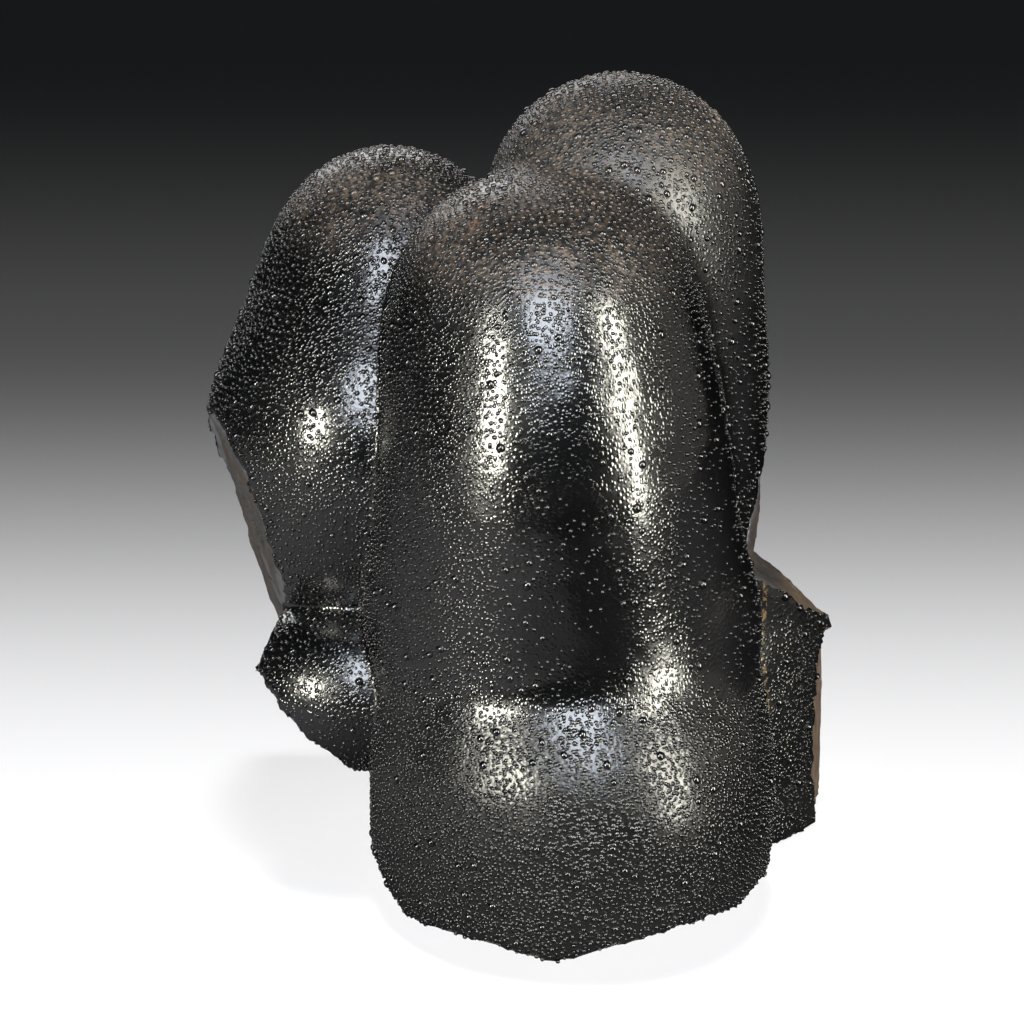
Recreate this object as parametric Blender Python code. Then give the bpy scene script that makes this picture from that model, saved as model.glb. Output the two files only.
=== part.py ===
"""Botryoidal hematite: one piece of kidney ore, cut off flat at its foot.

Rounded lobes grew together and kept a shiny skin. Between and behind them the ore is broken,
with flat fracture faces and a chipped lower rim. The foot is cut level, and the piece rests on
the cut. Units are metres, +Z is up, and the tall front lobe faces -Y.
"""

from dataclasses import dataclass
import math
import random

import bmesh
import bpy
from mathutils import Matrix, Vector, noise
import numpy as np

MM = 0.001

# Driving dimensions of the whole piece.
FOOT_LEVEL = 0.0
BACK_DEPTH = 20.0 * MM
SKIN_STEP = 2.75 * MM
FLANK_X = 31.9 * MM

# Relief of the broken faces: how far they wander, and over what distance.
BREAK_CELL = 4.8 * MM
BREAK_WANDER = 0.55 * MM
BREAK_SWELL = 15.0 * MM
BREAK_GRAIN = 5.5 * MM
LEDGE_RISE = 0.7 * MM
LEDGE_PITCH = 13.0 * MM

# The largest beads of the skin.
BEAD_COUNT = 115
BEAD_RADIUS = (0.50 * MM, 0.75 * MM)
BEAD_HEIGHT = 0.62
BEAD_SHOULDER_HEIGHT = 0.72
BEAD_SHOULDER_RADIUS = 0.64
BEAD_SPACING = 4.2 * MM
BEAD_SEED = 11

SETTLE_ROUNDS = 8
PROBE = 0.02 * MM


@dataclass(frozen=True)
class Bulge:
    """One rounded swelling of a lobe: an ellipsoid, squarer where fullness is above 2."""

    centre: tuple
    radii: tuple
    fullness: float = 2.0

    def distance(self, points):
        """Return about how far each point lies outside the swelling, in metres."""
        local = (points - np.array(self.centre) * MM) / (np.array(self.radii) * MM)
        across = np.maximum(local[:, 0] ** 2 + local[:, 1] ** 2, 1e-12)
        upward = np.maximum(np.abs(local[:, 2]), 1e-9)
        level = (across ** (self.fullness / 2) + upward ** self.fullness) ** (1 / self.fullness)
        pull = level ** (1 - self.fullness)
        flat = across ** (self.fullness / 2 - 1)
        slope_x = flat * local[:, 0] / (self.radii[0] * MM)
        slope_y = flat * local[:, 1] / (self.radii[1] * MM)
        slope_z = upward ** (self.fullness - 1) / (self.radii[2] * MM)
        steepness = pull * np.sqrt(slope_x ** 2 + slope_y ** 2 + slope_z ** 2)
        return (level - 1) / np.maximum(steepness, 1e-9)


@dataclass(frozen=True)
class Break:
    """One fracture face: a point on it, the way it faces, and half its size, in millimetres."""

    name: str
    at: tuple
    facing: tuple
    half: tuple
    relief: float
    seed: int


@dataclass(frozen=True)
class Growth:
    """Swellings that grew into one smooth body."""

    name: str
    bulges: tuple
    blend: float

    def distance(self, points):
        """Return the distance of each point from the smooth body."""
        nearest = self.bulges[0].distance(points)
        for bulge in self.bulges[1:]:
            nearest = blended(nearest, bulge.distance(points), self.blend * MM)
        return nearest


TRUNK = Growth(
    "trunk",
    (
        Bulge((2.4, -1.5, 54.5), (15.4, 16, 17.3), 2.4),
        Bulge((3.4, -5.5, 38), (18, 18.5, 28)),
        Bulge((4.6, -7, 28), (19.2, 16, 13)),
        Bulge((5.2, -10, 10), (20, 20.8, 18), 3.0),
        Bulge((9.5, -14, 14), (13, 15.5, 12.5)),
    ),
    8.0,
)
TALL_LOBE = Growth(
    "tall_lobe",
    (
        Bulge((10.0, 12, 64.3), (13.4, 13.5, 13.9)),
        Bulge((11.9, 11, 48), (13.2, 13, 26)),
        Bulge((13, 8, 30), (10.8, 14, 26)),
    ),
    7.0,
)
LEFT_LOBE = Growth(
    "left_lobe",
    (
        Bulge((-13, 14.5, 54.8), (13.2, 14, 15)),
        Bulge((-15, 7, 42.6), (15.8, 16.6, 16.5), 2.1),
        Bulge((-17.5, 7.5, 37), (12.5, 12.5, 14.5)),
    ),
    10.0,
)
CORE = Growth(
    "core",
    (
        Bulge((0, 11, 28), (24, 16, 33), 2.6),
        Bulge((-14, 13, 28), (17, 15, 20), 2.6),
        Bulge((-6, 1, 5), (10, 9, 16)),
    ),
    3.0,
)
BUD = Growth("bud", (Bulge((-16, -2.5, 19.6), (12.5, 10.5, 8.9)),), 1.0)
SLAB = Growth("slab", (Bulge((15, 12.5, 6), (18, 16.8, 40), 2.2),), 1.0)
VALLEY_BLEND = 3.0

# Fracture faces of the single bodies.
LEFT_FACE = Break("left_face", (-26.1, -3, 38), (-0.917, -0.258, -0.303), (40, 40), 1.0, 1)
CORE_UNDER = Break("core_under", (-20.0, -12, 17.65), (-0.711, -0.117, -0.693), (40, 40), 1.0, 3)
CORE_SIDE = Break("core_side", (-14.2, 5, 5), (-1, -0.22, -0.12), (30, 30), 0.5, 5)
BUD_FACES = (
    Break("bud_side", (-25.0, -6, 25.2), (-0.90, 0.15, 0.40), (14, 14), 0.4, 8),
    Break("bud_under", (-20, -12, 16.6), (-0.711, -0.117, -0.693), (20, 20), 0.8, 15),
)
SLAB_FACES = (
    Break("slab_side", (29.5, 1, 15), (0.978, -0.208, 0.0), (30, 35), 0.5, 22),
    Break("slab_shoulder", (24.8, 5, 28.2), (0.62, 0.20, 0.76), (25, 25), 0.7, 29),
)
VALLEY_CHIP = ((29.6, 1.0, 33.2), 6.2)

# Faces that break or cut the whole piece.
WHOLE_FACES = (
    Break("back", (0, BACK_DEPTH / MM, 32), (0.03, 1, 0.02), (45, 55), 1.3, 20),
    Break("rim_front", (4.6, -30.2, 2.0), (0.03, -0.32, -0.945), (16, 16), 0.5, 21),
    Break("rim_front_left", (-7, -25.8, 3.0), (-0.22, -0.25, -0.94), (16, 16), 0.6, 22),
    Break("rim_left", (-14, -12, 4.4), (-0.72, -0.10, -0.69), (18, 18), 0.6, 23),
    Break("rim_front_right", (17.5, -25.3, 4.2), (0.25, -0.24, -0.94), (18, 18), 0.6, 24),
    Break("rim_right", (22.8, -19.5, 4.0), (0.45, -0.20, -0.87), (16, 16), 0.6, 25),
    Break("flank", (FLANK_X / MM, 11, 15), (1, 0.26, 0.03), (30, 40), 0.8, 26),
)


def blended(first, second, reach):
    """Return the lesser of two distances, rounded where they come within reach of each other."""
    overlap = np.maximum(reach - np.abs(first - second), 0) / reach
    return np.minimum(first, second) - overlap ** 3 * reach / 6


def trunk_and_tall(points):
    """Return the distance from the front lobe and the tall lobe, which share a soft valley."""
    return blended(TRUNK.distance(points), TALL_LOBE.distance(points), VALLEY_BLEND * MM)


def clear_scene():
    """Remove every object of the scene."""
    for item in list(bpy.data.objects):
        bpy.data.objects.remove(item, do_unlink=True)


def ore_material():
    """Return the near-black, shiny ore."""
    material = bpy.data.materials.new("hematite_skin")
    material.use_nodes = True
    shader = material.node_tree.nodes["Principled BSDF"]
    shader.inputs["Base Color"].default_value = (0.024, 0.023, 0.024, 1.0)
    shader.inputs["Roughness"].default_value = 0.26
    shader.inputs["Metallic"].default_value = 0.35
    return material


def add_object(name, mesh_data):
    """Link a new object that holds the given bmesh."""
    mesh = bpy.data.meshes.new(name)
    mesh_data.to_mesh(mesh)
    mesh_data.free()
    item = bpy.data.objects.new(name, mesh)
    bpy.context.scene.collection.objects.link(item)
    return item


def bake_modifiers(item):
    """Replace an object's mesh with what its modifiers make of it."""
    shaped = bpy.data.meshes.new_from_object(item.evaluated_get(bpy.context.evaluated_depsgraph_get()))
    item.modifiers.clear()
    item.data = shaped


def settle(item, distance):
    """Move every vertex of an object onto the surface where the distance is nought."""
    count = len(item.data.vertices)
    flat = np.empty(count * 3, dtype=np.float32)
    item.data.vertices.foreach_get("co", flat)
    points = flat.reshape(count, 3).astype(np.float64)
    for _ in range(SETTLE_ROUNDS):
        gap = distance(points)
        slope = np.empty_like(points)
        for axis in range(3):
            step = np.zeros(3)
            step[axis] = PROBE
            slope[:, axis] = (distance(points + step) - distance(points - step)) / (2 * PROBE)
        steepness = np.maximum((slope ** 2).sum(axis=1), 0.25)
        points -= slope * (gap / steepness)[:, None]
    item.data.vertices.foreach_set("co", points.astype(np.float32).ravel())
    item.data.update()


def grow(name, growths, distance):
    """Grow a closed body: swellings as spheres, skinned over by Remesh, settled on the surface."""
    ball = bmesh.new()
    for growth in growths:
        for bulge in growth.bulges:
            place = Matrix.LocRotScale(Vector(bulge.centre) * MM, None, Vector(bulge.radii) * MM)
            bmesh.ops.create_uvsphere(ball, u_segments=32, v_segments=20, radius=1.0, matrix=place)
    body = add_object(name, ball)
    skin = body.modifiers.new("skin", "REMESH")
    skin.mode = "VOXEL"
    skin.voxel_size = SKIN_STEP
    bake_modifiers(body)
    settle(body, distance)
    return body


def break_height(place, seed):
    """Return the height of a fracture face over its plane: a swell, a grain and ledges."""
    here = Vector((place.x, place.y, seed * 0.37))
    swell = noise.noise(here / BREAK_SWELL + Vector((seed, 0, 0)))
    grain = noise.noise(here / BREAK_GRAIN + Vector((0, seed, 0)))
    turn = seed * 1.7
    along = (place.x * math.cos(turn) + place.y * math.sin(turn)) / LEDGE_PITCH + swell
    ledge = (along % 1.0) ** 4
    return BREAK_WANDER * (1.6 * swell + 0.7 * grain) + LEDGE_RISE * (ledge - 0.2)


def break_block(face):
    """Return a block whose near side is the fracture face, with the broken-off part inside."""
    width, height = (side * MM for side in face.half)
    columns = max(2, round(2 * width / BREAK_CELL))
    rows = max(2, round(2 * height / BREAK_CELL))
    grid = bmesh.new()
    bmesh.ops.create_grid(grid, x_segments=columns, y_segments=rows, size=1.0)
    for vertex in grid.verts:
        vertex.co = Vector((vertex.co.x * width, vertex.co.y * height, 0))
        vertex.co.z = face.relief * break_height(vertex.co, face.seed)
    lifted = bmesh.ops.extrude_face_region(grid, geom=grid.faces[:])["geom"]
    for vertex in lifted:
        if isinstance(vertex, bmesh.types.BMVert):
            vertex.co.z = max(width, height)
    bmesh.ops.recalc_face_normals(grid, faces=grid.faces[:])
    block = add_object(face.name, grid)
    turn = Vector(face.facing).to_track_quat("Z", "Y")
    block.matrix_world = Matrix.LocRotScale(Vector(face.at) * MM, turn, None)
    return block


def foot_block():
    """Return the block below the level cut that the piece rests on."""
    block = bmesh.new()
    side = 100 * MM
    place = Matrix.LocRotScale(Vector((0, 0, FOOT_LEVEL - side / 2)), None, Vector((side, side, side)))
    bmesh.ops.create_cube(block, size=1.0, matrix=place)
    return add_object("foot_cut", block)


def chip_ball(name, centre, radius):
    """Return a ball that takes a small shell-shaped chip out of the ore."""
    ball = bmesh.new()
    place = Matrix.LocRotScale(Vector(centre) * MM, None, None)
    bmesh.ops.create_icosphere(ball, subdivisions=3, radius=radius * MM, matrix=place)
    return add_object(name, ball)


def carve(body, tool, operation="DIFFERENCE"):
    """Cut a tool from a body or unite the two, and remove the tool."""
    joint = body.modifiers.new(tool.name, "BOOLEAN")
    joint.operation = operation
    joint.object = tool
    joint.solver = "EXACT"
    bake_modifiers(body)
    bpy.data.objects.remove(tool, do_unlink=True)


def notch_block():
    """Return the hollow under the left overhang: outside both the under face and the side face."""
    block = break_block(CORE_UNDER)
    carve(block, break_block(CORE_SIDE), "INTERSECT")
    return block


def broken(growth, faces):
    """Grow a body and break it along its faces."""
    body = grow(growth.name, (growth,), growth.distance)
    for face in faces:
        carve(body, break_block(face))
    return body


def grow_backing():
    """Return the left lobe on the core behind it, broken along their shared faces."""
    backing = grow(LEFT_LOBE.name, (LEFT_LOBE,), LEFT_LOBE.distance)
    carve(backing, grow(CORE.name, (CORE,), CORE.distance), "UNION")
    carve(backing, break_block(LEFT_FACE))
    carve(backing, notch_block())
    return backing


def grow_ore():
    """Grow, break and unite the bodies, and return the whole ore before its beads."""
    ore = grow("hematite", (TRUNK, TALL_LOBE), trunk_and_tall)
    carve(ore, chip_ball("valley_chip", *VALLEY_CHIP))
    carve(ore, grow_backing(), "UNION")
    carve(ore, broken(BUD, BUD_FACES), "UNION")
    carve(ore, broken(SLAB, SLAB_FACES), "UNION")
    carve(ore, foot_block())
    for face in WHOLE_FACES:
        carve(ore, break_block(face))
    return ore


def bead_places(mesh_data):
    """Pick well spaced whole quads of the skin to carry the largest beads."""
    dice = random.Random(BEAD_SEED)
    skin = [face for face in mesh_data.faces if len(face.verts) == 4 and on_skin(face)]
    dice.shuffle(skin)
    chosen = []
    for face in skin:
        centre = face.calc_center_median()
        if all((centre - other.calc_center_median()).length > BEAD_SPACING for other in chosen):
            chosen.append(face)
        if len(chosen) == BEAD_COUNT:
            break
    return chosen


def on_skin(face):
    """Tell whether a face lies wholly on the rounded skin and has room for a bead."""
    short = min(edge.calc_length() for edge in face.edges)
    if short < 1.5 * MM or face.calc_center_median().z < 6 * MM:
        return False
    points = np.array([vertex.co for vertex in face.verts], dtype=np.float64)
    bodies = [growth.distance(points) for growth in (LEFT_LOBE, BUD)]
    nearest = np.minimum.reduce([trunk_and_tall(points), *bodies])
    return bool(np.abs(nearest).max() < 0.05 * MM)


def raise_bead(mesh_data, face, radius):
    """Raise a round bead from the middle of a quad."""
    centre = face.calc_center_median()
    outward = face.normal.copy()
    bmesh.ops.inset_individual(mesh_data, faces=[face], thickness=0.25 * MM)
    for edge in list(face.edges):
        bmesh.utils.edge_split(edge, edge.verts[0], 0.5)
    set_ring(face, centre, radius)
    height = radius * BEAD_HEIGHT
    cap = bmesh.ops.extrude_discrete_faces(mesh_data, faces=[face])["faces"][0]
    set_ring(cap, centre + outward * height * BEAD_SHOULDER_HEIGHT, radius * BEAD_SHOULDER_RADIUS)
    bmesh.ops.poke(mesh_data, faces=[cap], offset=height * (1 - BEAD_SHOULDER_HEIGHT))


def set_ring(face, centre, radius):
    """Move a face's vertices onto a circle."""
    middle = face.calc_center_median()
    for vertex in face.verts:
        vertex.co = centre + (vertex.co - middle).normalized() * radius


def bead_skin(ore):
    """Raise the largest beads on the ore's skin and close its faces into triangles."""
    dice = random.Random(BEAD_SEED + 1)
    mesh_data = bmesh.new()
    mesh_data.from_mesh(ore.data)
    mesh_data.normal_update()
    for face in bead_places(mesh_data):
        raise_bead(mesh_data, face, dice.uniform(*BEAD_RADIUS))
    bmesh.ops.dissolve_degenerate(mesh_data, dist=0.01 * MM, edges=mesh_data.edges[:])
    bmesh.ops.triangulate(mesh_data, faces=mesh_data.faces[:])
    mesh_data.to_mesh(ore.data)
    mesh_data.free()


def main():
    """Build the piece."""
    clear_scene()
    ore = grow_ore()
    bead_skin(ore)
    ore.data.materials.clear()
    ore.data.materials.append(ore_material())


main()
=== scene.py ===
"""Studio scene of a botryoidal hematite piece.

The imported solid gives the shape. It is skinned over finely, its rounded skin is settled on the
lobes' growth surface, its broken faces get fibres and growth layers, and fine beads cover the
skin. Objects are in metres. Sizes of the ore are written in millimetres and scaled by MM.
"""

from __future__ import annotations

from dataclasses import dataclass
from enum import Enum
import logging
import math

import bmesh
import bpy
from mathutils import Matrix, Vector, noise
import numpy as np


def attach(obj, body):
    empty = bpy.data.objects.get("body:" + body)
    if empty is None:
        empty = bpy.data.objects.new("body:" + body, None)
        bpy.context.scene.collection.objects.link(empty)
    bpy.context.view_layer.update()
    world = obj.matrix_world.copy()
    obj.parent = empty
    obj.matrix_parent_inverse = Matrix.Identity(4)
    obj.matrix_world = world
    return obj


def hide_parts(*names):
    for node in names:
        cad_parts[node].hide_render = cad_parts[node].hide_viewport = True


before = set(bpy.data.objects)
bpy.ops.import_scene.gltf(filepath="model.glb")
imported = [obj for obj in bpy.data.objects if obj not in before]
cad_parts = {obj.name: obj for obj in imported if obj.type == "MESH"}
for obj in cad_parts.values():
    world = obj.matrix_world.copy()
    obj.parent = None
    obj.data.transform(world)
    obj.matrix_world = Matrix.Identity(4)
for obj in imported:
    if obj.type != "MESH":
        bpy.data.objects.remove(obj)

MM = 0.001
NODE = "hematite"
BODY = "root"

logging.basicConfig(level=logging.INFO, format="%(message)s")
log = logging.getLogger("hematite")

Array = np.ndarray
Range = tuple[float, float]
Triple = tuple[float, float, float]
Colour = tuple[float, float, float]
Socket = bpy.types.NodeSocket

TINY = 1e-12
SEED_STEP = np.array([7.3, 3.1, 5.7])


class Zone(Enum):
    """The lobe that a stretch of skin belongs to."""

    FRONT = "front_lobe_beads"
    BELLY = "belly_beads"
    TALL = "tall_lobe_beads"
    LEFT = "left_lobe_beads"


def rise(values: Array, low: float, high: float) -> Array:
    """Run smoothly from 0 at low to 1 at high, which may be the smaller one.

    Args:
        values: Numbers to compare with the two ends.
        low: Where the rise starts.
        high: Where it ends.

    Returns:
        Numbers from 0 to 1.
    """
    part = np.clip((values - low) / (high - low), 0, 1)
    return part * part * (3 - 2 * part)


def blended(first: Array, second: Array, reach: float) -> Array:
    """Join two distances with a rounded valley.

    Args:
        first: Distances from one body.
        second: Distances from the other.
        reach: How near the two come before the valley rounds, in millimetres.

    Returns:
        Distances from the joined body.
    """
    overlap = np.maximum(reach - np.abs(first - second), 0) / reach
    return np.minimum(first, second) - overlap**3 * reach / 6


@dataclass(frozen=True)
class Swell:
    """A smooth random unevenness.

    Attributes:
        height: Most that it adds or takes away.
        width: Width of one swell in millimetres.
        seed: Picks another pattern.
    """

    height: float
    width: float
    seed: float

    def at(self, points: Array, turn: int = 0) -> Array:
        """Read the unevenness.

        Args:
            points: Places in millimetres.
            turn: Picks a sister pattern.

        Returns:
            One value for each place.
        """
        shifted = points / self.width + (self.seed + turn) * SEED_STEP
        return self.height * np.array([noise.noise(place) for place in shifted.tolist()])


@dataclass(frozen=True)
class Bulge:
    """One rounded swelling of a lobe, in millimetres.

    Attributes:
        centre: Middle of the swelling.
        radii: Half sizes along X, Y and Z.
        fullness: 2 for an ellipsoid, more for a squarer outline in height.
    """

    centre: Triple
    radii: Triple
    fullness: float = 2.0

    def distance(self, points: Array) -> Array:
        """Measure about how far points lie outside the swelling.

        Args:
            points: Places in millimetres, one row each.

        Returns:
            Distances in millimetres, below nought inside.
        """
        radii = np.array(self.radii)
        local = (points - np.array(self.centre)) / radii
        across = np.maximum(local[:, 0] ** 2 + local[:, 1] ** 2, TINY)
        upward = np.maximum(np.abs(local[:, 2]), TINY)
        full = self.fullness
        level = (across ** (full / 2) + upward**full) ** (1 / full)
        flat = across ** (full / 2 - 1)
        slopes = np.stack(
            [flat * local[:, 0], flat * local[:, 1], upward ** (full - 1)], axis=1
        )
        steepness = level ** (1 - full) * np.linalg.norm(slopes / radii, axis=1)
        return (level - 1) / np.maximum(steepness, TINY)


@dataclass(frozen=True)
class Lobe:
    """A smooth lobe grown from several swellings.

    Attributes:
        bulges: The swellings.
        reach: How softly they run into each other, in millimetres.
        skin: How near its surface a place counts as on it, in millimetres.
    """

    bulges: tuple[Bulge, ...]
    reach: float
    skin: float

    def distance(self, points: Array) -> Array:
        """Measure how far points lie outside the lobe.

        Args:
            points: Places in millimetres.

        Returns:
            Distances in millimetres.
        """
        nearest = self.bulges[0].distance(points)
        for bulge in self.bulges[1:]:
            nearest = blended(nearest, bulge.distance(points), self.reach)
        return nearest


TRUNK = Lobe(
    (
        Bulge((2.4, -1.5, 54.5), (15.4, 16, 17.3), 2.4),
        Bulge((3.4, -5.5, 38), (18, 18.5, 28)),
        Bulge((4.6, -7, 28), (19.2, 16, 13)),
        Bulge((5.2, -10, 10), (20, 20.8, 18), 3.0),
        Bulge((9.5, -14, 14), (13, 15.5, 12.5)),
    ),
    reach=8.0,
    skin=1.0,
)
TALL = Lobe(
    (
        Bulge((10.0, 12, 64.3), (13.4, 13.5, 13.9)),
        Bulge((11.9, 11, 48), (13.2, 13, 26)),
        Bulge((13, 8, 30), (10.8, 14, 26)),
    ),
    reach=7.0,
    skin=0.8,
)
LEFT = Lobe(
    (
        Bulge((-13, 14.5, 54.8), (13.2, 14, 15)),
        Bulge((-15, 7, 42.6), (15.8, 16.6, 16.5), 2.1),
        Bulge((-17.5, 7.5, 37), (12.5, 12.5, 14.5)),
    ),
    reach=10.0,
    skin=0.6,
)
BUD = Lobe((Bulge((-16, -2.5, 19.6), (12.5, 10.5, 8.9)),), reach=1.0, skin=0.6)
SLAB = Lobe((Bulge((15, 12.5, 6), (18, 16.8, 40), 2.2),), reach=1.0, skin=0.5)


@dataclass(frozen=True)
class GrowthField:
    """The growth surface of the whole piece, in millimetres: every lobe with its skin.

    Attributes:
        probe: Step that the slope is measured with.
        valley: How softly the tall lobe runs into the trunk.
        belly_top: Height of the line between front lobe and belly.
        seam_gap: Distance of the ochre seam from the belly.
        seam_width: How fast it thins out sideways.
        seam_top: Range of heights over which it ends above.
        seam_foot: Range of heights over which it ends below.
        seam_back: How far back it may run.
    """

    probe: float = 0.02
    valley: float = 3.0
    belly_top: float = 27.0
    seam_gap: float = 1.9
    seam_width: float = 0.40
    seam_top: Range = (32.0, 29.5)
    seam_foot: Range = (9.0, 13.0)
    seam_back: float = 8.0

    def parts(self, points: Array) -> Array:
        """Measure the distance from each body that has a skin.

        Args:
            points: Places in millimetres.

        Returns:
            One row of distances for trunk with tall lobe, left lobe, bud and slab.
        """
        joined = blended(TRUNK.distance(points), TALL.distance(points), self.valley)
        others = [lobe.distance(points) for lobe in (LEFT, BUD, SLAB)]
        return np.stack([joined, *others])

    def distance(self, points: Array) -> Array:
        """Measure the distance from the nearest skin, in millimetres."""
        return self.parts(points).min(axis=0)

    def slope(self, points: Array) -> Array:
        """Find which way the distance grows.

        Args:
            points: Places in millimetres.

        Returns:
            One direction for each place, of length 1 or nearly so.
        """
        slope = np.empty_like(points)
        for axis in range(3):
            step = np.zeros(3)
            step[axis] = self.probe
            ahead = self.distance(points + step)
            slope[:, axis] = (ahead - self.distance(points - step)) / (2 * self.probe)
        return slope

    def seam(self, points: Array) -> Array:
        """Tell how near places are to the ochre seam that runs down the slab beside the belly.

        Args:
            points: Places in millimetres.

        Returns:
            1 on the seam and 0 away from it.
        """
        joined, _, _, slab = self.parts(points)
        off = np.abs(joined - self.seam_gap) + np.abs(slab)
        ends = rise(points[:, 2], *self.seam_top) * rise(points[:, 2], *self.seam_foot)
        return np.exp(-off / self.seam_width) * ends * (points[:, 1] < self.seam_back)

    def zones(self, points: Array) -> Array:
        """Name the zone of skin that each place belongs to.

        Args:
            points: Places in millimetres, on the skin.

        Returns:
            Indices into the members of Zone.
        """
        order = list(Zone)
        nearest = self.parts(points).argmin(axis=0)
        zone = np.full(len(points), order.index(Zone.FRONT))
        zone[points[:, 2] < self.belly_top] = order.index(Zone.BELLY)
        tall = TALL.distance(points) < TRUNK.distance(points)
        zone[tall | (nearest == 3)] = order.index(Zone.TALL)
        zone[(nearest == 1) | (nearest == 2)] = order.index(Zone.LEFT)
        return zone


FIELD = GrowthField()


@dataclass(frozen=True)
class Spot:
    """A soft round stretch, in millimetres.

    Attributes:
        middle: Middle of the stretch.
        size: Half sizes along X, Y and Z.
    """

    middle: Triple
    size: Triple

    def near(self, points: Array) -> Array:
        """Tell how near places are to the middle, from 0 far away to 1."""
        local = (points - np.array(self.middle)) / np.array(self.size)
        return np.exp(-(local**2).sum(axis=1))


@dataclass(frozen=True)
class Patch:
    """A stretch of skin that raises or lowers a level of the skin map.

    Places are in millimetres. A range fades in from its first number to its second.

    Attributes:
        adds: What it adds where it is whole.
        lobe: The lobe that it keeps to, if any.
        spot: The soft round stretch that it keeps to, if any.
        upward: Range of how far the skin faces up, 1 for level skin.
        across: Range of X.
        height: Range of Z.
        right_of: X beyond which it lies.
        above: Z over which it lies.
        below: Z under which it lies.
    """

    adds: float
    lobe: Lobe | None = None
    spot: Spot | None = None
    upward: Range | None = None
    across: Range | None = None
    height: Range | None = None
    right_of: float = -math.inf
    above: float = -math.inf
    below: float = math.inf

    def at(self, points: Array, normals: Array) -> Array:
        """Work out what the stretch adds.

        Args:
            points: Places on the skin in millimetres.
            normals: The way the skin faces there.

        Returns:
            One value for each place.
        """
        x, _, z = points.T
        share = ((x > self.right_of) & (z > self.above) & (z < self.below)).astype(float)
        if self.lobe is not None:
            share *= self.lobe.distance(points) < self.lobe.skin
        if self.spot is not None:
            share *= self.spot.near(points)
        for values, ends in ((normals[:, 2], self.upward), (x, self.across), (z, self.height)):
            if ends is not None:
                share *= rise(values, *ends)
        return self.adds * share


@dataclass(frozen=True)
class Level:
    """A quantity that changes over the skin.

    Attributes:
        base: Its value on plain skin.
        patches: Stretches of skin that change it, by name.
        swell: Its random unevenness.
        limits: Its least and greatest value.
    """

    base: float
    patches: dict[str, Patch]
    swell: Swell
    limits: Range = (0.0, 1.0)

    def at(self, points: Array, normals: Array, extra: Array | float = 0.0) -> Array:
        """Work out the quantity.

        Args:
            points: Places on the skin in millimetres.
            normals: The way the skin faces there.
            extra: What else is added to it.

        Returns:
            One value for each place, within the limits.
        """
        level = self.base + extra + self.swell.at(points)
        for patch in self.patches.values():
            level = level + patch.at(points, normals)
        return np.clip(level, *self.limits)


WINDOW = Spot((6.5, -25.0, 33.0), (7.5, 14.0, 9.5))
GLOSSY = Spot((6.0, -22.0, 50.0), (11.0, 14.0, 11.0))
RUSTY = Spot((-5.5, -6.0, 70.0), (3.5, 4.0, 4.0))
BELLY_LINE = 24.0
DUST_LINE = (61.0, 67.0)

CROWDED = Level(
    0.55,
    {
        "tops": Patch(0.36, upward=(0.25, 0.70)),
        "flank": Patch(0.36, TRUNK, upward=(0.70, 0.25), across=(1.0, -6.0), above=12.0),
        "window": Patch(-0.38, TRUNK, WINDOW),
        "glossy": Patch(-0.36, TRUNK, GLOSSY),
        "belly": Patch(0.42, TRUNK, below=BELLY_LINE),
        "right": Patch(-0.36, TRUNK, across=(15.0, 20.0), above=24.0),
        "left_high": Patch(-0.20, LEFT, upward=(0.70, 0.25), height=(44.0, 52.0)),
        "tall_side": Patch(-0.15, TALL, upward=(0.70, 0.25)),
        "bud": Patch(-0.26, BUD),
        "slab": Patch(-0.25, SLAB),
    },
    Swell(0.14, 7.0, 1.0),
    (0.08, 1.0),
)
COARSE = Level(
    0.28,
    {
        "tops": Patch(0.45, upward=(0.35, 0.85)),
        "tall": Patch(0.22, TALL, right_of=10.0),
        "glossy": Patch(0.25, spot=GLOSSY),
    },
    Swell(0.25, 4.5, 4.0),
)
PEBBLED = Level(
    0.50,
    {
        "tops": Patch(0.45, upward=(0.15, 0.75)),
        "flank": Patch(0.30, TRUNK, across=(1.0, -6.0)),
        "window": Patch(-0.35, spot=WINDOW),
        "glossy": Patch(-0.30, spot=GLOSSY),
        "belly": Patch(1.00, height=(BELLY_LINE + 4, BELLY_LINE - 3)),
        "right": Patch(-0.30, TRUNK, across=(13.0, 18.0)),
        "left_low": Patch(0.40, LEFT, height=(50.0, 42.0)),
        "tall_top": Patch(0.45, TALL, height=(56.0, 64.0)),
        "tall_side": Patch(-0.25, TALL, upward=(0.75, 0.15)),
        "bud": Patch(-0.75, BUD),
        "slab": Patch(-0.40, SLAB),
    },
    Swell(0.30, 5.5, 21.0),
    (0.10, 1.7),
)
MATTE = Level(0.0, {"tall_top": Patch(0.35, TALL, height=(50.0, 58.0))}, Swell(0.15, 5.0, 31.0))


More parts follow.
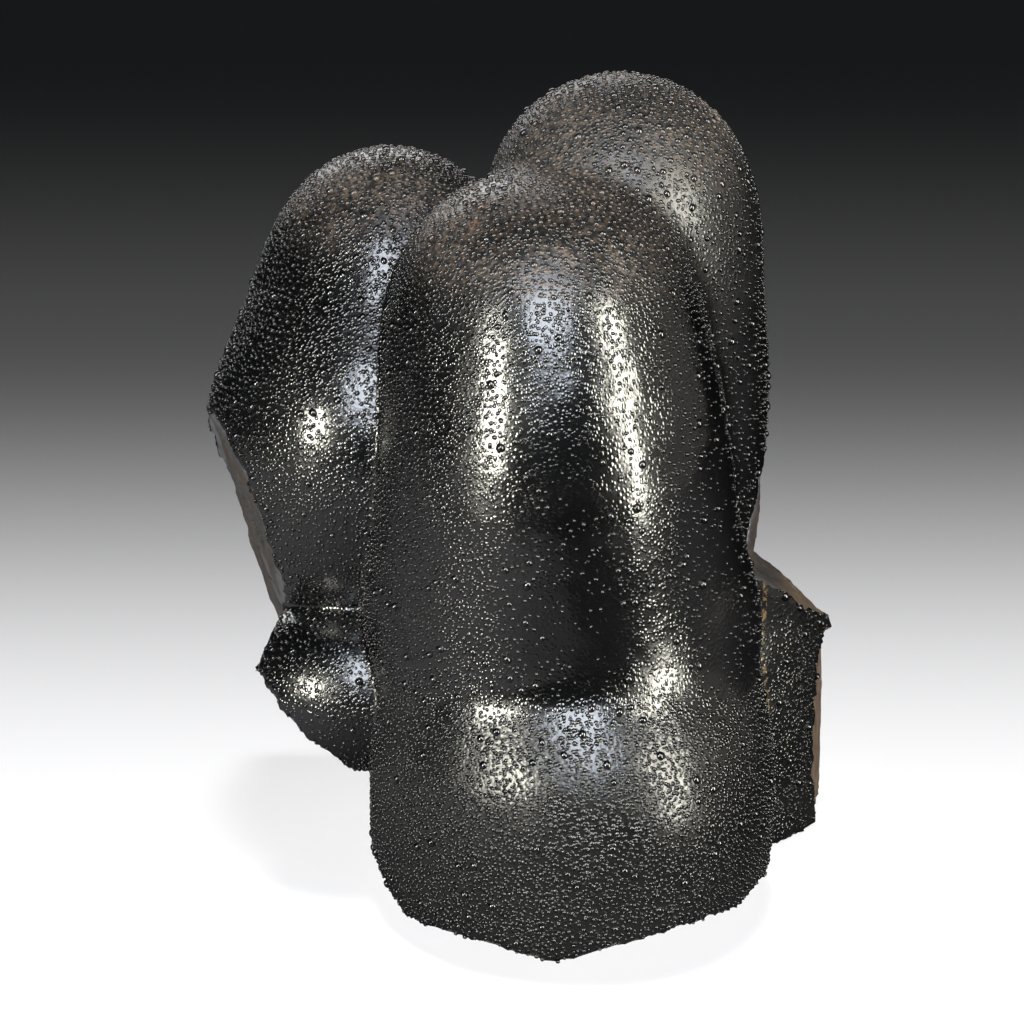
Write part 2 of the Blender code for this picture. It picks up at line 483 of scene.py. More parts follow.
@dataclass(frozen=True)
class SkinMap:
    """How crowded, coarse, grainy, dull, dusty and rusty the skin is from place to place.

    Attributes:
        bare_seam: How much the ochre seam thins the beads.
        grains_matte: How much the grains dull the skin.
        dusty: Skin that dust settles on.
        dust_clouds: The dust's patches.
        dust_edge: Range over which a patch fades in.
        dust_least: Share of dust between the patches.
        rusty: Skin that rust settles on.
        rust_spot: The rustiest stretch.
        rust_clouds: The rust's patches.
        rust_edge: Range over which a patch fades in.
        rust_least: Rust of a patch anywhere.
    """

    bare_seam: float = 0.8
    grains_matte: float = 0.30
    dusty: Patch = Patch(1.0, upward=(0.25, 0.75), height=DUST_LINE)
    dust_clouds: tuple[Swell, Swell] = (Swell(1.0, 6.0, 22.0), Swell(0.5, 2.6, 23.0))
    dust_edge: Range = (-0.45, 0.45)
    dust_least: float = 0.40
    rusty: Patch = Patch(0.56, upward=(0.40, 0.90), height=DUST_LINE)
    rust_spot: Patch = Patch(0.9, spot=RUSTY)
    rust_clouds: Swell = Swell(1.0, 3.2, 24.0)
    rust_edge: Range = (0.10, 0.60)
    rust_least: float = 0.04

    def crowding(self, points: Array, normals: Array) -> Array:
        """Tell how crowded the beads are, 1 where they touch."""
        return CROWDED.at(points, normals, -self.bare_seam * FIELD.seam(points))

    def coarseness(self, points: Array, normals: Array) -> Array:
        """Tell how large the beads are."""
        return COARSE.at(points, normals)

    def dust(self, points: Array, normals: Array) -> Array:
        """Tell how much dust has settled.

        Args:
            points: Places on the skin in millimetres.
            normals: The way the skin faces there.

        Returns:
            One value for each place, from 0 to 1.
        """
        clouds = rise(sum(cloud.at(points) for cloud in self.dust_clouds), *self.dust_edge)
        share = self.dust_least + (1 - self.dust_least) * clouds
        return np.clip(self.dusty.at(points, normals) * share, 0, 1)

    def rust(self, points: Array, normals: Array) -> Array:
        """Tell how rusty the skin is.

        Args:
            points: Places on the skin in millimetres.
            normals: The way the skin faces there.

        Returns:
            One value for each place, from 0 to 1.
        """
        clouds = rise(self.rust_clouds.at(points), *self.rust_edge)
        flecks = clouds * (self.rust_least + self.rusty.at(points, normals))
        return np.clip(self.rust_spot.at(points, normals) + flecks, 0, 1)

    def stored(self, points: Array, normals: Array) -> dict[str, Array]:
        """List what the materials read.

        Args:
            points: Places on the skin in millimetres.
            normals: The way the skin faces there.

        Returns:
            One value for each place, by name.
        """
        pebbling = PEBBLED.at(points, normals)
        return {
            "pebbling": pebbling,
            "matte": MATTE.at(points, normals, self.grains_matte * pebbling),
            "dust": self.dust(points, normals),
            "rust": self.rust(points, normals),
        }


SKIN_MAP = SkinMap()


def mesh_points(mesh: bpy.types.Mesh) -> Array:
    """Read a mesh's vertices.

    Args:
        mesh: The mesh to read.

    Returns:
        Their places in millimetres, one row each.
    """
    flat = np.empty(len(mesh.vertices) * 3, dtype=np.float32)
    mesh.vertices.foreach_get("co", flat)
    return flat.reshape(-1, 3).astype(np.float64) / MM


def mesh_normals(mesh: bpy.types.Mesh) -> Array:
    """Read a mesh's vertex normals.

    Args:
        mesh: The mesh to read.

    Returns:
        One direction of length 1 for each vertex.
    """
    flat = np.empty(len(mesh.vertices) * 3, dtype=np.float32)
    mesh.vertex_normals.foreach_get("vector", flat)
    return flat.reshape(-1, 3).astype(np.float64)


def write_points(mesh: bpy.types.Mesh, points: Array) -> None:
    """Move a mesh's vertices.

    Args:
        mesh: The mesh to change.
        points: New places in millimetres.
    """
    mesh.vertices.foreach_set("co", (points * MM).astype(np.float32).ravel())
    mesh.update()


def add_attribute(mesh: bpy.types.Mesh, name: str, values: Array) -> None:
    """Store a number or a vector on each vertex.

    Args:
        mesh: The mesh to write to.
        name: Name that the material reads it by.
        values: One number or one row of three for each vertex.
    """
    vector = values.ndim == 2
    layer = mesh.attributes.new(name, "FLOAT_VECTOR" if vector else "FLOAT", "POINT")
    layer.data.foreach_set("vector" if vector else "value", values.astype(np.float32).ravel())


def read_attribute(mesh: bpy.types.Mesh, name: str) -> Array:
    """Read the number stored on each vertex.

    Args:
        mesh: The mesh to read.
        name: Name that it is stored by.

    Returns:
        One number for each vertex.
    """
    values = np.empty(len(mesh.vertices), dtype=np.float32)
    mesh.attributes[name].data.foreach_get("value", values)
    return values


def placed(name: str, data: bpy.types.ID) -> bpy.types.Object:
    """Put a mesh, light or camera into the scene.

    Args:
        name: Name of the object.
        data: What it shows.

    Returns:
        The new object.
    """
    made = bpy.data.objects.new(name, data)
    bpy.context.scene.collection.objects.link(made)
    return made


@dataclass
class OreBody:
    """The piece itself: rounded skin and broken faces in one mesh, in millimetres.

    Attributes:
        cell: Grid of the fine skin.
        weld: Corners of the solid that are nearer than this are joined.
        skin_gap: Distance from the growth surface up to which a vertex counts as skin.
        faceted_gap: The same for a vertex that faces as the growth surface does.
        facing: How well it has to face that way, 1 at best.
        deep: Distance from the growth surface beyond which a vertex is surely broken.
        break_reach: How many edges a break may run on from there.
        settle_rounds: Steps that take the skin to the growth surface.
        gentlest: Least squared slope that such a step trusts.
        smooth_rounds: Rounds that smooth the solid's facets out of the breaks.
        edge_rounds: Rounds that widen the edge between skin and break.
        foot: Height under which a vertex may lie on the foot cut.
        foot_facing: How far down it has to face there, -1 at most.
        waves: The skin's slow waves.
        ledge: Height and pitch of the ledges where growth layers part.
        ledge_drift: How the ledges wander.
        ledge_edge: Part of the pitch over which a ledge rises.
        fibres: The fibre ridges in the breaks, across a sphere of directions.
        fibre_turns: Fibre ridges round that sphere.
        fibre_run: How fast a fibre changes with its depth.
        grains: The grain of the breaks.
        break_depth: Range of depths over which a break gets its relief.
        chips: How far the broken edges wander.
        chip_least: Nearness to an edge from which they do.
        seam_least: Nearness to the ochre seam from which faces show it.
    """

    cell: float = 0.46
    weld: float = 0.001
    skin_gap: float = 0.12
    faceted_gap: float = 0.5
    facing: float = 0.9
    deep: float = 0.9
    break_reach: int = 7
    settle_rounds: int = 4
    gentlest: float = 0.25
    smooth_rounds: int = 10
    edge_rounds: int = 3
    foot: float = 0.35
    foot_facing: float = -0.9
    waves: tuple[Swell, Swell] = (Swell(0.07, 4.2, 2.0), Swell(0.035, 1.9, 3.0))
    ledge: Range = (0.22, 3.4)
    ledge_drift: Swell = Swell(0.35, 9.0, 5.0)
    ledge_edge: Range = (0.72, 0.95)
    fibres: Swell = Swell(0.12, 1.0, 6.0)
    fibre_turns: float = 15.0
    fibre_run: float = 0.03
    grains: tuple[Swell, Swell] = (Swell(0.10, 2.4, 8.0), Swell(0.05, 1.1, 9.0))
    break_depth: Range = (0.2, 1.2)
    chips: tuple[Swell, Swell] = (Swell(0.42, 2.6, 11.0), Swell(0.252, 1.1, 15.0))
    chip_least: float = 0.02
    seam_least: float = 0.2

    def build(self) -> bpy.types.Object:
        """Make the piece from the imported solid.

        Returns:
            The finished object, which stands for the solid.
        """
        piece = self.fine_copy()
        mesh = piece.data
        points, normals = mesh_points(mesh), mesh_normals(mesh)
        skin = self.is_skin(mesh, points, normals)
        points = self.settle(points, skin)
        points = self.soften_breaks(mesh, points, skin)
        write_points(mesh, points)
        normals = mesh_normals(mesh)
        depth = np.abs(FIELD.distance(points))
        fibre = FIELD.slope(points)
        edge = self.edge_zone(mesh, skin)
        sawn = (points[:, 2] < self.foot) & (normals[:, 2] < self.foot_facing)
        moved = points + normals * self.relief(points, depth, fibre, skin, sawn)[:, None]
        moved += self.edge_chips(points, edge, sawn)
        moved[:, 2] = np.maximum(moved[:, 2], 0.0)
        write_points(mesh, moved)
        self.store(mesh, points, normals, np.where(skin, 0.0, depth), fibre)
        self.dress(mesh)
        mesh.shade_smooth()
        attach(piece, BODY)
        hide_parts(NODE)
        return piece

    def fine_copy(self) -> bpy.types.Object:
        """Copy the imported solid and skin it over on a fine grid.

        Returns:
            The copy.
        """
        solid = bmesh.new()
        solid.from_mesh(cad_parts[NODE].data)
        bmesh.ops.remove_doubles(solid, verts=solid.verts[:], dist=self.weld * MM)
        mesh = bpy.data.meshes.new("hematite_ore")
        solid.to_mesh(mesh)
        solid.free()
        piece = placed("hematite_ore", mesh)
        finer = piece.modifiers.new("fine_skin", "REMESH")
        finer.mode = "VOXEL"
        finer.voxel_size = self.cell * MM
        graph = bpy.context.evaluated_depsgraph_get()
        piece.data = bpy.data.meshes.new_from_object(piece.evaluated_get(graph))
        piece.modifiers.clear()
        return piece

    def is_skin(self, mesh: bpy.types.Mesh, points: Array, normals: Array) -> Array:
        """Tell which vertices lie on the rounded skin and not on a broken face.

        Args:
            mesh: The fine copy of the solid.
            points: Its vertices in millimetres.
            normals: The way it faces.

        Returns:
            True for skin. A face is broken only where it runs deep, so creases stay skin.
        """
        gap = np.abs(FIELD.distance(points))
        along = (FIELD.slope(points) * normals).sum(axis=1)
        off = ~((gap < self.skin_gap) | ((gap < self.faceted_gap) & (along > self.facing)))
        start, end = self.neighbours(mesh)
        broken = off & (gap > self.deep)
        for _ in range(self.break_reach):
            touched = np.zeros(len(points), dtype=bool)
            touched[end[broken[start]]] = True
            broken |= touched & off
        return ~broken

    def settle(self, points: Array, skin: Array) -> Array:
        """Move the skin's vertices onto the growth surface.

        Args:
            points: All places in millimetres.
            skin: Which of them are skin.

        Returns:
            All places, with those of the skin moved.
        """
        settled = points.copy()
        for _ in range(self.settle_rounds):
            part = settled[skin]
            slope = FIELD.slope(part)
            steepness = np.maximum((slope**2).sum(axis=1), self.gentlest)
            settled[skin] = part - slope * (FIELD.distance(part) / steepness)[:, None]
        return settled

    def neighbours(self, mesh: bpy.types.Mesh) -> tuple[Array, Array]:
        """List each edge both ways.

        Args:
            mesh: The mesh with the edges.

        Returns:
            The vertices that the edges leave from, and those that they lead to.
        """
        flat = np.empty(len(mesh.edges) * 2, dtype=np.int32)
        mesh.edges.foreach_get("vertices", flat)
        first, second = flat.reshape(-1, 2).T
        return np.concatenate([first, second]), np.concatenate([second, first])

    def averaged(self, mesh: bpy.types.Mesh, values: Array, rounds: int) -> Array:
        """Average values with those of their neighbours.

        Args:
            mesh: The mesh that the values belong to.
            values: One number or row for each vertex.
            rounds: How often to average.

        Returns:
            The averaged values.
        """
        start, end = self.neighbours(mesh)
        size = len(values)
        count = np.bincount(start, minlength=size)
        columns = values.reshape(size, -1).astype(np.float64)
        for _ in range(rounds):
            summed = [np.bincount(start, weights=side[end], minlength=size) for side in columns.T]
            columns = 0.5 * columns + 0.5 * np.stack(summed, axis=1) / count[:, None]
        return columns.reshape(values.shape)

    def soften_breaks(self, mesh: bpy.types.Mesh, points: Array, skin: Array) -> Array:
        """Smooth the solid's facets out of the broken faces, away from skin and foot.

        Args:
            mesh: The fine copy of the solid.
            points: Its places in millimetres.
            skin: Which of its vertices are skin.

        Returns:
            All places, with those of the breaks moved.
        """
        softened = self.averaged(mesh, points, self.smooth_rounds)
        fixed = skin | (points[:, 2] < self.foot)
        return np.where(fixed[:, None], points, softened)

    def edge_zone(self, mesh: bpy.types.Mesh, skin: Array) -> Array:
        """Tell how near each vertex is to an edge between skin and break.

        Args:
            mesh: The fine copy of the solid.
            skin: Which of its vertices are skin.

        Returns:
            Nearness from 0 to 1.
        """
        share = self.averaged(mesh, skin.astype(np.float64), self.edge_rounds)
        return 4 * share * (1 - share)

    def relief(
        self, points: Array, depth: Array, fibre: Array, skin: Array, sawn: Array
    ) -> Array:
        """Work out how far each vertex rises from the smooth shape.

        Args:
            points: Places in millimetres.
            depth: Depth under the growth surface.
            fibre: The way the fibres run.
            skin: Which vertices are skin.
            sawn: Which vertices are on the level foot cut.

        Returns:
            Heights in millimetres.
        """
        waves = sum(wave.at(points) for wave in self.waves)
        height, pitch = self.ledge
        layer = depth / pitch + self.ledge_drift.at(points)
        ledges = height * (rise(layer % 1.0, *self.ledge_edge) - 0.5)
        ridges = self.fibres.at(fibre * self.fibre_turns + depth[:, None] * self.fibre_run)
        grain = sum(one.at(points) for one in self.grains)
        broken = (ledges + ridges + grain) * rise(depth, *self.break_depth)
        return np.where(skin, waves, np.where(sawn, 0.0, broken))

    def edge_chips(self, points: Array, edge: Array, sawn: Array) -> Array:
        """Work out how the broken edges wander.

        Args:
            points: Places in millimetres.
            edge: Nearness to a broken edge, from 0 to 1.
            sawn: Which vertices are on the foot cut.

        Returns:
            One move for each vertex, in millimetres.
        """
        moves = np.zeros_like(points)
        near = (edge > self.chip_least) & ~sawn
        for axis in range(3):
            bites = sum(chip.at(points[near], axis) for chip in self.chips)
            moves[near, axis] = bites * edge[near]
        return moves

    def store(
        self, mesh: bpy.types.Mesh, points: Array, normals: Array, depth: Array, fibre: Array
    ) -> None:
        """Store what the material reads on each vertex.

        Args:
            mesh: The mesh to write to.
            points: Places before relief, in millimetres.
            normals: The way the surface faces.
            depth: Depth under the skin, nought on it.
            fibre: The way the fibres run.
        """
        add_attribute(mesh, "depth", depth)
        add_attribute(mesh, "fibre", fibre)
        add_attribute(mesh, "seam", FIELD.seam(points))
        for name, level in SKIN_MAP.stored(points, normals).items():
            add_attribute(mesh, name, level)

    def dress(self, mesh: bpy.types.Mesh) -> None:
        """Give clean skin one material and every face that touches a break the other.

        Args:
            mesh: The mesh to dress, with what its materials read.
        """
        mesh.materials.append(SkinFinish().material())
        mesh.materials.append(BreakFinish().material())
        shown = read_attribute(mesh, "seam") > self.seam_least
        marked = (read_attribute(mesh, "depth") > 0) | shown
        faces = np.array([marked[list(face.vertices)].any() for face in mesh.polygons])
        mesh.polygons.foreach_set("material_index", faces.astype(np.int32))


@dataclass
class BeadCrust:
    """The fine beads that cover one zone of the skin, joined in one mesh, in millimetres.

    Attributes:
        zone: The stretch of skin that is covered.
        seed: Starts the random draws.
        budget: Most triangles in the mesh.
        radii: Smallest and largest common bead.
        growth: Share of that span on fine skin, and what coarse skin adds.
        giant: Largest rare bead.
        giant_share: Share of the tries that are rare beads.
        giant_growth: Share of those on fine skin, and what coarse skin adds.
        giant_kept: Share of the rare beads that stay wherever they fall.
        tries: Beads tried on a square millimetre.
        bias: How strongly small beads and bare skin are favoured.
        room: Least and most room round a bead, as a share of its radius.
        clean_depth: Depth under the skin up to which it carries beads.
        foot: Height from which it does.
        lowest: Height under which no part of a bead reaches.
        shells: Least and largest radius, rings and sides of each kind of bead.
        stretch: Least and most length of a bead, as a share of its radius.
        squat: Least and most height.
        lift: How far its middle stands out.
        crown: How steep the top of a bead is, and the share of dust that stays there.
    """

    zone: Zone
    seed: int
    budget: int = 196000
    radii: Range = (0.13, 0.30)
    growth: Range = (0.45, 0.75)
    giant: float = 0.47
    giant_share: float = 0.014
    giant_growth: Range = (0.25, 0.75)
    giant_kept: float = 0.6
    tries: float = 12.0
    bias: float = 1.5
    room: Range = (0.80, 1.50)
    clean_depth: float = 0.01
    foot: float = 0.6
    lowest: float = 0.02
    shells: tuple[tuple[float, float, tuple[float, ...], int], ...] = (
        (0.30, math.inf, (0.35, 0.75, 1.15, 1.75), 12),
        (0.24, 0.30, (0.42, 0.95, 1.75), 8),
        (0.0, 0.24, (0.90, 1.75), 5),
    )
    stretch: Range = (0.85, 1.15)
    squat: Range = (0.62, 0.95)
    lift: float = 0.04
    crown: Range = (0.8, 0.45)

    def build(self, ore: bpy.types.Object, finish: bpy.types.Material) -> bpy.types.Object:
        """Scatter and join the beads.

        Args:
            ore: The piece whose skin carries them.
            finish: Their material.

        Returns:
            The crust.
        """
        places, normals, radii = self.scatter(ore.data)
        order = np.argsort(-radii, kind="stable")
        meshes = []
        left = self.budget
        for least, most, rings, sides in self.shells:
            chosen = (radii >= least) & (radii < most)
            picked = order[chosen[order]]
            cost = sides * (2 * len(rings) - 1) + sides - 2
            picked = picked[: max(0, left // cost)]
            left -= cost * len(picked)
            shape = self.shapes(places[picked], normals[picked], radii[picked], rings, sides)
            meshes.append(shape)
        piece = self.joined(meshes)
        piece.data.materials.append(finish)
        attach(piece, BODY)
        return piece

    def bearing(self, mesh: bpy.types.Mesh, points: Array) -> Array:
        """Find the triangles of clean skin in the zone.

        Args:
            mesh: The ore's mesh.
            points: Its vertices in millimetres.

        Returns:
            The corners of each, as one row.
        """
        mesh.calc_loop_triangles()
        corners = np.empty(len(mesh.loop_triangles) * 3, dtype=np.int32)
        mesh.loop_triangles.foreach_get("vertices", corners)
        corners = corners.reshape(-1, 3)
        depth = read_attribute(mesh, "depth")[corners].max(axis=1)
        middles = points[corners].mean(axis=1)
        bare = (depth > self.clean_depth) | (middles[:, 2] < self.foot)
        zone = FIELD.zones(middles) == list(Zone).index(self.zone)
        return corners[zone & ~bare]

    def scatter(self, mesh: bpy.types.Mesh) -> tuple[Array, Array, Array]:
        """Throw beads on the zone's skin until they crowd as the skin map says.

        Args:
            mesh: The ore's mesh.

        Returns:
            Places in millimetres, outward directions and radii.
        """
        dice = np.random.default_rng(self.seed)
        points, normals = mesh_points(mesh), mesh_normals(mesh)
        corners = self.bearing(mesh, points)
        first, second, third = (points[corners[:, side]] for side in range(3))
        area = np.linalg.norm(np.cross(second - first, third - first), axis=1) / 2
        count = int(area.sum() * self.tries)
        picked = dice.choice(len(corners), size=count, p=area / area.sum())
        along, across = np.sqrt(dice.random(count)), dice.random(count)
        weights = np.stack([1 - along, along * (1 - across), along * across], axis=1)
        places = (points[corners[picked]] * weights[:, :, None]).sum(axis=1)
        facing = (normals[corners[picked]] * weights[:, :, None]).sum(axis=1)
        facing /= np.linalg.norm(facing, axis=1, keepdims=True)
        crowd = SKIN_MAP.crowding(places, facing)
        coarse = SKIN_MAP.coarseness(places, facing)
        small, large = self.radii
        grown = self.growth[0] + self.growth[1] * coarse
        radii = small + (large - small) * dice.random(count) ** self.bias * grown
        rare = self.giant_share * (self.giant_growth[0] + self.giant_growth[1] * coarse)
        giants = dice.random(count) < rare
        radii[giants] = dice.uniform(large, self.giant, giants.sum())
        kept = dice.random(count) < crowd**self.bias
        kept |= giants & (dice.random(count) < self.giant_kept)
        kept &= self.apart(places, radii * dice.uniform(*self.room, count), kept)
        return places[kept], facing[kept], radii[kept]

    def apart(self, places: Array, radii: Array, wanted: Array) -> Array:
        """Keep only beads that don't run into each other, largest first.

        Args:
            places: Places in millimetres.
            radii: Radii of the room round them, in millimetres.
            wanted: Which beads to look at.

        Returns:
            Which beads to keep.
        """
        cell = 2 * self.giant * self.room[1]
        keys = np.floor(places / cell).astype(int).tolist()
        grid: dict[tuple[int, int, int], list[tuple[float, ...]]] = {}
        kept = np.zeros(len(places), dtype=bool)
        spots, sizes = places.tolist(), radii.tolist()
        order = [index for index in np.argsort(-radii, kind="stable").tolist() if wanted[index]]
        around = [(x, y, z) for x in (-1, 0, 1) for y in (-1, 0, 1) for z in (-1, 0, 1)]
        for index in order:
            x, y, z = spots[index]
            column, row, floor = keys[index]
            clear = (
                (x - a) ** 2 + (y - b) ** 2 + (z - c) ** 2 >= (sizes[index] + size) ** 2
                for dx, dy, dz in around
                for a, b, c, size in grid.get((column + dx, row + dy, floor + dz), ())
            )
            if all(clear):
                kept[index] = True
                grid.setdefault((column, row, floor), []).append((x, y, z, sizes[index]))
        return kept

    def ball(self, rings: tuple[float, ...], sides: int) -> tuple[Array, Array]:
        """Shape one closed bead of radius 1.

        Args:
            rings: Angle of each ring of vertices from the bead's top, in radians.
            sides: Vertices in a ring.

        Returns:
            Its vertices and triangles.
        """
        turn = np.arange(sides) * 2 * math.pi / sides
        unit = [np.array([[0.0, 0.0, 1.0]])]
        for number, polar in enumerate(rings):
            angle = turn + number * math.pi / sides
            ring = [np.sin(polar) * np.cos(angle), np.sin(polar) * np.sin(angle)]
            unit.append(np.stack([*ring, np.full(sides, np.cos(polar))], axis=1))
        faces = [(0, 1 + side, 1 + (side + 1) % sides) for side in range(sides)]
        for number in range(len(rings) - 1):
            upper, lower = 1 + number * sides, 1 + (number + 1) * sides
            for side in range(sides):
                after = (side + 1) % sides
                faces.append((upper + side, lower + side, upper + after))
                faces.append((upper + after, lower + side, lower + after))
        last = 1 + (len(rings) - 1) * sides
        faces += [(last, last + side + 1, last + side) for side in range(1, sides - 1)]
        return np.concatenate(unit), np.array(faces)

    def shapes(
        self, places: Array, normals: Array, radii: Array, rings: tuple[float, ...], sides: int
    ) -> tuple[Array, Array, dict[str, Array]]:
        """Shape closed beads, each a squat ball sunk in the skin.

        Args:
            places: Places in millimetres.
            normals: Outward directions.
            radii: Radii in millimetres.
            rings: Angle of each ring of vertices from the bead's top, in radians.
            sides: Vertices in a ring.

        Returns:
            Vertices in millimetres, triangles and what the material reads.
        """
        ball, faces = self.ball(rings, sides)
        count = len(places)
        dice = np.random.default_rng(self.seed + sides)
        level = np.where(np.abs(normals[:, 2:]) < 0.9, [[0, 0, 1]], [[1, 0, 0]])
        side_way = np.cross(normals, level)
        side_way /= np.linalg.norm(side_way, axis=1, keepdims=True)
        other_way = np.cross(normals, side_way)
        spin = dice.random(count)[:, None] * 2 * math.pi
        first = side_way * np.cos(spin) + other_way * np.sin(spin)
        second = np.cross(normals, first)
        stretch = dice.uniform(*self.stretch, count)[:, None]
        height = dice.uniform(*self.squat, count)[:, None]
        wide = radii[:, None]
        corners = (places + normals * self.lift * wide)[:, None, :] + (
            (first * stretch * wide)[:, None, :] * ball[None, :, :1]
            + (second / stretch * wide)[:, None, :] * ball[None, :, 1:2]
            + (normals * height * wide)[:, None, :] * ball[None, :, 2:]
        )
        triangles = faces[None] + (np.arange(count) * len(ball))[:, None, None]
        steep, dusty = self.crown
        cover = np.where(ball[:, 2] > steep, dusty, 1.0)
        stored = SKIN_MAP.stored(places, normals)
        levels = {name: (value[:, None] * cover).ravel() for name, value in stored.items()}
        return corners.reshape(-1, 3), triangles.reshape(-1, 3), levels

    def joined(self, meshes: list[tuple[Array, Array, dict[str, Array]]]) -> bpy.types.Object:
        """Join the beads into one object.

        Args:
            meshes: Vertices, triangles and stored levels of each kind of bead.

        Returns:
            The joined object.
        """
        points = np.concatenate([part[0] for part in meshes])
        shift = np.cumsum([0] + [len(part[0]) for part in meshes[:-1]])
        faces = np.concatenate([part[1] + start for part, start in zip(meshes, shift)])
        points[:, 2] = np.maximum(points[:, 2], self.lowest)
        mesh = bpy.data.meshes.new(self.zone.value)
        mesh.vertices.add(len(points))
        mesh.loops.add(len(faces) * 3)
        mesh.polygons.add(len(faces))
        mesh.vertices.foreach_set("co", (points * MM).astype(np.float32).ravel())
        mesh.loops.foreach_set("vertex_index", faces.astype(np.int32).ravel())
        mesh.polygons.foreach_set("loop_start", np.arange(len(faces), dtype=np.int32) * 3)
        mesh.update(calc_edges=True)
        for name in meshes[0][2]:
            add_attribute(mesh, name, np.concatenate([part[2][name] for part in meshes]))
        mesh.shade_smooth()
        return placed(self.zone.value, mesh)


@dataclass(frozen=True)
class Cloud:
    """A cloudy pattern of a material.

    Attributes:
        scale: Swells to a unit of place.
        detail: Finer layers.
        weight: Weight of the finer layers.
    """

    scale: float
    detail: float = 2.0
    weight: float = 0.5


class Bench:
    """Places nodes in one tree and joins them."""

    def __init__(self, tree: bpy.types.NodeTree) -> None:
        """Start in a tree."""
        self.tree = tree

    def node(self, kind: str, **settings: object) -> bpy.types.Node:
        """Add a node.

        Args:
            kind: Blender's name of the node type, without ShaderNode.
            **settings: Properties of the node.

        Returns:
            The node.
        """
        made = self.tree.nodes.new("ShaderNode" + kind)
        for name, value in settings.items():
            setattr(made, name, value)
        return made

    def feed(self, socket: Socket, value: object) -> None:
        """Join a socket to another or give it a value.

        Args:
            socket: The socket to feed.
            value: Another socket, a number, or a colour without its alpha.
        """
        if isinstance(value, bpy.types.NodeSocket):
            self.tree.links.new(value, socket)
        elif isinstance(value, tuple) and len(value) == 3 and socket.type == "RGBA":
            socket.default_value = (*value, 1.0)
        else:
            socket.default_value = value

    def math(self, operation: str, *values: object) -> Socket:
        """Add a sum.

        Args:
            operation: Blender's name of the sum.
            *values: Its numbers or sockets.

        Returns:
            The result's socket.
        """
        made = self.node("Math", operation=operation)
        for socket, value in zip(made.inputs, values):
            self.feed(socket, value)
        return made.outputs[0]

    def times(self, first: object, second: object) -> Socket:
        """Multiply two values."""
        return self.math("MULTIPLY", first, second)

    def line(self, value: object, slope: float, start: object) -> Socket:
        """Multiply a value by slope and add start."""
        return self.math("MULTIPLY_ADD", value, slope, start)

    def rise(self, value: object, low: float, high: float, top: float = 1.0) -> Socket:
        """Map a value smoothly from low and high to 0 and top.

        Args:
            value: Number or socket.
            low: Where the rise starts.
            high: Where it ends, which may be below low.
            top: What it reaches there.

        Returns:
            The result's socket.
        """
        made = self.node("MapRange", interpolation_type="SMOOTHSTEP")
        ends = {"Value": value, "From Min": low, "From Max": high, "To Max": top}
        for name, number in ends.items():
            self.feed(made.inputs[name], number)
        return made.outputs["Result"]

    def mix(self, share: object, first: object, second: object) -> Socket:
        """Mix two colours.

        Args:
            share: 0 for the first and 1 for the second.
            first: Colour or socket.
            second: Colour or socket.

        Returns:
            The colour's socket.
        """
        made = self.node("Mix", data_type="RGBA")
        colours = [socket for socket in made.inputs if socket.type == "RGBA"]
        for socket, value in zip((made.inputs[0], *colours), (share, first, second)):
            self.feed(socket, value)
        return next(socket for socket in made.outputs if socket.type == "RGBA")

    def blend(self, share: object, first: object, second: object) -> Socket:
        """Mix two numbers.

        Args:
            share: 0 for the first and 1 for the second.
            first: Number or socket.
            second: Number or socket.

        Returns:
            The number's socket.
        """
        made = self.node("Mix", data_type="FLOAT")
        for index, value in ((0, share), (2, first), (3, second)):
            self.feed(made.inputs[index], value)
        return made.outputs[0]

    def noise(self, place: object, cloud: Cloud, dimensions: str = "3D") -> Socket:
        """Add a cloudy pattern.

        Args:
            place: Where to read it.
            cloud: Its look.
            dimensions: 3D, or 1D where place is a number.

        Returns:
            The pattern from 0 to 1.
        """
        made = self.node("TexNoise", noise_dimensions=dimensions)
        self.feed(made.inputs["Vector" if dimensions == "3D" else "W"], place)
        look = {"Scale": cloud.scale, "Detail": cloud.detail, "Roughness": cloud.weight}
        for name, number in look.items():
            self.feed(made.inputs[name], number)
        return made.outputs["Fac"]

    def attribute(self, name: str, vector: bool = False) -> Socket:
        """Read what is stored on the vertices."""
        made = self.node("Attribute", attribute_name=name)
        return made.outputs["Vector" if vector else "Fac"]

    def scaled(self, vector: Socket, factor: object) -> Socket:
        """Multiply a vector or colour by a number.

        Args:
            vector: The vector's socket.
            factor: Number or socket.

        Returns:
            The result's socket.
        """
        made = self.node("VectorMath", operation="SCALE")
        self.feed(made.inputs[0], vector)
        self.feed(made.inputs["Scale"], factor)
        return made.outputs[0]

    def millimetres(self) -> Socket:
        """Read the place on the object, in millimetres."""
        return self.scaled(self.node("TexCoord").outputs["Object"], 1 / MM)

    def across(self, place: Socket) -> Socket:
        """Read the X of a place.

        Args:
            place: The place's socket.

        Returns:
            The number's socket.
        """
        made = self.node("SeparateXYZ")
        self.feed(made.inputs[0], place)
        return made.outputs["X"]


